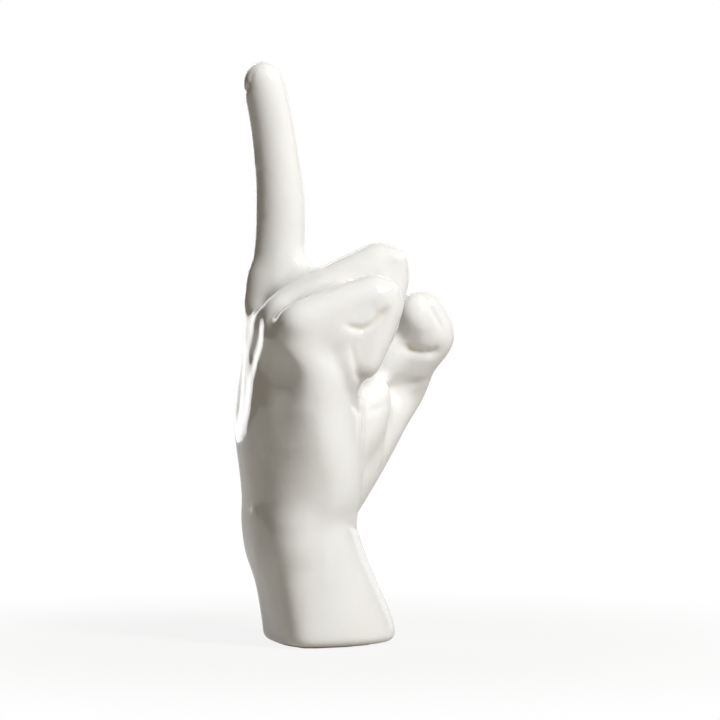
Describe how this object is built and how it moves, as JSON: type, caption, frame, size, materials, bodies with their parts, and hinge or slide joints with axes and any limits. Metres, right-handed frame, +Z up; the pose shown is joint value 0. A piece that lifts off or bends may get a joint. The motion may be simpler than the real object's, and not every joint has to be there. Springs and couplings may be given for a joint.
{
  "type": "ceramic hand sculpture",
  "caption": "Free-standing glazed ceramic right hand on its cut wrist, with a raised finger, the other fingers folded onto the palm and the thumb up.",
  "frame": {"origin": "middle of the felt pad's underside, on the surface that the hand stands on", "axes": "+Z up along the wrist to the raised fingertip, +X towards the palm side, +Y towards the thumb side"},
  "size_m": [0.0981, 0.0792, 0.2502],
  "materials": {
    "glaze": "glossy off-white glaze",
    "bisque": "bare fired clay",
    "felt": "pressed felt"
  },
  "bodies": {
    "root": {"palm_and_wrist": "glaze", "raised_finger": "glaze", "ring_finger": "glaze", "little_finger": "glaze", "index_finger": "glaze", "thumb": "glaze", "foot_slab": "bisque", "felt_pad": "felt"}
  },
  "joints": []
}
